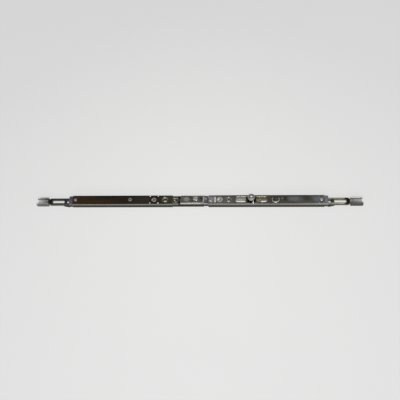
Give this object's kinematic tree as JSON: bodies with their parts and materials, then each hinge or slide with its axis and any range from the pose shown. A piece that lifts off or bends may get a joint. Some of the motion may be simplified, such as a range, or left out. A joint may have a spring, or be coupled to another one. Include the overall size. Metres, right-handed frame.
{
  "type": "window espagnolette",
  "caption": "Espagnolette length for a window sash: faceplate, sliding rod with a mushroom locking cam, sprung rocker lever and serrated coupling claws.",
  "frame": {"origin": "middle of the length and width, on the plane that the back lies on", "axes": "+X along the faceplate towards the cam's end, +Y across it, +Z out of its face"},
  "size_m": [0.5152, 0.016, 0.019],
  "materials": {
    "faceplate": "zinc plated sheet steel with a dark satin sheen",
    "housing": "zinc plated pressed steel, satin",
    "end_guide": "die-cast zinc with a faint violet tint",
    "slide_block": "black moulded polyamide",
    "rivet": "zinc plated steel, set by a tool",
    "screw": "zinc plated steel with a cross recess",
    "plug": "light grey moulded plastic",
    "spring": "blank spring steel strip",
    "rod": "zinc plated flat bar, satin",
    "claw": "zinc plated steel, satin",
    "cam": "ground and zinc plated steel",
    "cam_slider": "sintered steel, dark zinc",
    "lever": "zinc plated sheet steel, satin"
  },
  "bodies": {
    "rail": {"faceplate_left": "faceplate", "faceplate_right": "faceplate", "lever_housing": "housing", "guide_shoe": "housing", "end_guide_left": "end_guide", "end_guide_right": "end_guide", "slide_block_left": "slide_block", "slide_block_right": "slide_block", "end_rivet_left": "rivet", "end_rivet_right": "rivet", "guide_rivet_left": "rivet", "guide_rivet_middle": "rivet", "spring_rivet": "rivet", "rocker_pin": "rivet", "guide_screw": "screw", "centring_plug": "plug", "leaf_spring": "spring"},
    "rod": {"drive_rod": "rod", "coupling_claw_left": "claw", "coupling_claw_right": "claw", "claw_rivets": "rivet", "cam_pin": "cam", "cam_slider": "cam_slider"},
    "cam": {"cam_roller": "cam"},
    "rocker": {"rocker_lever": "lever", "rocker_peg": "rivet"}
  },
  "joints": [
    {"name": "rod_slide", "type": "slide", "parent": "rail", "child": "rod", "axis": [1, 0, 0], "range_m": [-0.018, 0.018]},
    {"name": "cam_turn", "type": "hinge", "parent": "rod", "child": "cam", "pos_m": [0.0854, 0, 0.015], "axis": [0, 0, 1], "continuous": true},
    {"name": "rocker_tilt", "type": "hinge", "parent": "rail", "child": "rocker", "pos_m": [0.0064, 0, 0.0085], "axis": [0, 1, 0], "range_deg": [-3, 0], "stiffness_Nm_per_rad": 0.5, "springref_deg": 8.59, "deforming": ["leaf_spring"]}
  ]
}
